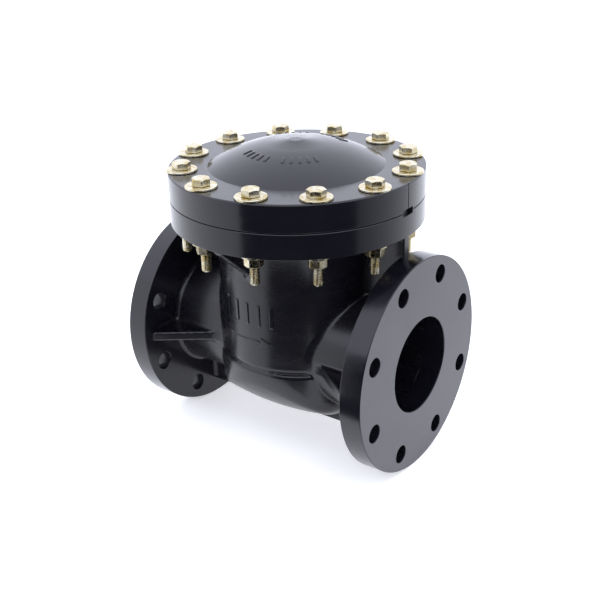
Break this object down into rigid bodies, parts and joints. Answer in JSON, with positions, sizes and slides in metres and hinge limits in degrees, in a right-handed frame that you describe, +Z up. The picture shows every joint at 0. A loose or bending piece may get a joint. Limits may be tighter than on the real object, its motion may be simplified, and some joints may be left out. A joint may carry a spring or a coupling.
{
  "type": "flanged swing check valve",
  "caption": "Plastic flanged swing check valve with a bolted domed cover and an inner flap that swings open with the flow.",
  "frame": {"origin": "centre of the bounding box at floor level, under the crossing of the port axis and the cover axis", "axes": "+X along the port axis in the flow direction, towards the outlet; +Z up along the cover axis"},
  "size_m": [0.3, 0.265, 0.3302],
  "materials": {
    "black_pvc": "semi-gloss moulded",
    "yellow_zinc": "yellow chromate plated",
    "epdm": "matt",
    "stainless": "plain"
  },
  "bodies": {
    "shell": {"valve_body": "black_pvc", "bonnet": "black_pvc", "bonnet_gasket": "epdm", "cover_bolt_01": "yellow_zinc", "cover_bolt_02": "yellow_zinc", "cover_bolt_03": "yellow_zinc", "cover_bolt_04": "yellow_zinc", "cover_bolt_05": "yellow_zinc", "cover_bolt_06": "yellow_zinc", "cover_bolt_07": "yellow_zinc", "cover_bolt_08": "yellow_zinc", "cover_bolt_09": "yellow_zinc", "cover_bolt_10": "yellow_zinc", "cover_bolt_11": "yellow_zinc", "cover_bolt_12": "yellow_zinc", "head_washer_01": "yellow_zinc", "head_washer_02": "yellow_zinc", "head_washer_03": "yellow_zinc", "head_washer_04": "yellow_zinc", "head_washer_05": "yellow_zinc", "head_washer_06": "yellow_zinc", "head_washer_07": "yellow_zinc", "head_washer_08": "yellow_zinc", "head_washer_09": "yellow_zinc", "head_washer_10": "yellow_zinc", "head_washer_11": "yellow_zinc", "head_washer_12": "yellow_zinc", "nut_washer_01": "yellow_zinc", "nut_washer_02": "yellow_zinc", "nut_washer_03": "yellow_zinc", "nut_washer_04": "yellow_zinc", "nut_washer_05": "yellow_zinc", "nut_washer_06": "yellow_zinc", "nut_washer_07": "yellow_zinc", "nut_washer_08": "yellow_zinc", "nut_washer_09": "yellow_zinc", "nut_washer_10": "yellow_zinc", "nut_washer_11": "yellow_zinc", "nut_washer_12": "yellow_zinc", "cover_nut_01": "yellow_zinc", "cover_nut_02": "yellow_zinc", "cover_nut_03": "yellow_zinc", "cover_nut_04": "yellow_zinc", "cover_nut_05": "yellow_zinc", "cover_nut_06": "yellow_zinc", "cover_nut_07": "yellow_zinc", "cover_nut_08": "yellow_zinc", "cover_nut_09": "yellow_zinc", "cover_nut_10": "yellow_zinc", "cover_nut_11": "yellow_zinc", "cover_nut_12": "yellow_zinc", "seat_ring": "stainless", "hinge_pin": "stainless", "pin_clip_near": "stainless", "pin_clip_far": "stainless"},
    "flap": {"hinge_arm": "stainless", "disc": "black_pvc", "disc_facing": "epdm", "disc_washer": "stainless", "disc_nut": "stainless"}
  },
  "joints": [
    {"name": "flap_swing", "type": "hinge", "parent": "shell", "child": "flap", "pos_m": [-0.04, 0, 0.1823], "axis": [0, -1, 0], "range_deg": [0, 60]}
  ]
}
